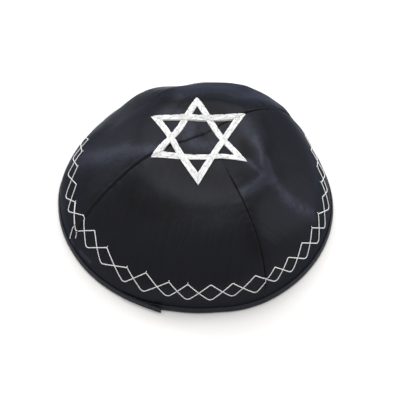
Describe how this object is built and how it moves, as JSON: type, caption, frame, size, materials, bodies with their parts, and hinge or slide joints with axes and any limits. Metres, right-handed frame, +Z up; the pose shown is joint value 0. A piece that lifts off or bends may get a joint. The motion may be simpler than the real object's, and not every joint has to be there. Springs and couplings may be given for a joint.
{
  "type": "kippah skullcap",
  "caption": "Shallow round satin skullcap of sewn gores with a bound rim and an embroidered six-pointed star on its crown.",
  "frame": {"origin": "on the surface that the cap rests on, under the middle of its rim", "axes": "+Z up through the crown, -Y towards the front gore, +X to the wearer's left, which is the right side in the picture"},
  "size_m": [0.1704, 0.1702, 0.0561],
  "materials": {
    "satin": "near-black navy satin weave with a soft sheen",
    "binding": "folded strip of the same satin, slightly lighter along its fold",
    "silver_thread": "white and silver embroidery thread"
  },
  "bodies": {
    "root": {"panel_back": "satin", "panel_left": "satin", "panel_front": "satin", "panel_right": "satin", "rim_binding": "binding", "star_embroidery": "silver_thread"}
  },
  "joints": []
}
